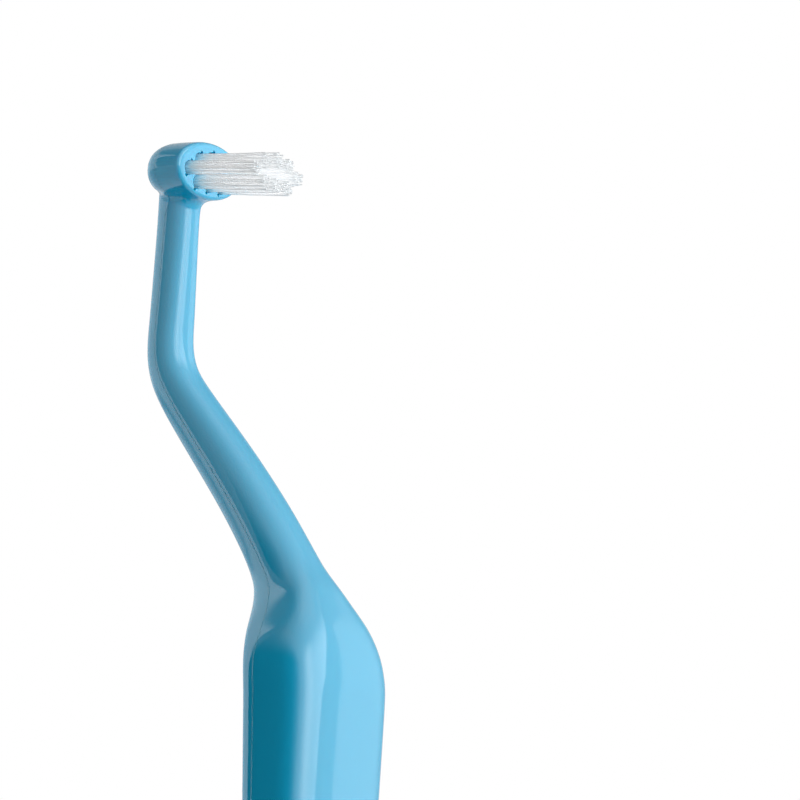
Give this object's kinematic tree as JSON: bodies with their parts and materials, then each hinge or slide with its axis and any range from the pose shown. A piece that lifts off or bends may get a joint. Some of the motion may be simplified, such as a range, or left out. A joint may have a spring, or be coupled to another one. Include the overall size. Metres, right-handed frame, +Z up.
{
  "type": "angled toothbrush",
  "caption": "Slim moulded toothbrush with a neck stepped back from the grip, and a small oval head whose short tufts are held by metal anchors.",
  "frame": {"origin": "middle of the small flat on the butt end of the handle", "axes": "+Z up the handle from the butt to the head, -Y the way the bristles point, +X across the handle"},
  "size_m": [0.0174, 0.0247, 0.1666],
  "materials": {
    "blue_plastic": "opaque sky-blue moulding, polished",
    "clear_nylon": "clear filaments that look white in the mass",
    "brass": "cut strip, bright"
  },
  "bodies": {
    "root": {"handle": "blue_plastic", "tuft_outer_left": "clear_nylon", "tuft_upper_left": "clear_nylon", "tuft_upper_centre": "clear_nylon", "tuft_upper_right": "clear_nylon", "tuft_outer_right": "clear_nylon", "tuft_lower_right": "clear_nylon", "tuft_lower_centre": "clear_nylon", "tuft_lower_left": "clear_nylon", "anchor_outer_left": "brass", "anchor_upper_left": "brass", "anchor_upper_centre": "brass", "anchor_upper_right": "brass", "anchor_outer_right": "brass", "anchor_lower_right": "brass", "anchor_lower_centre": "brass", "anchor_lower_left": "brass"}
  },
  "joints": []
}
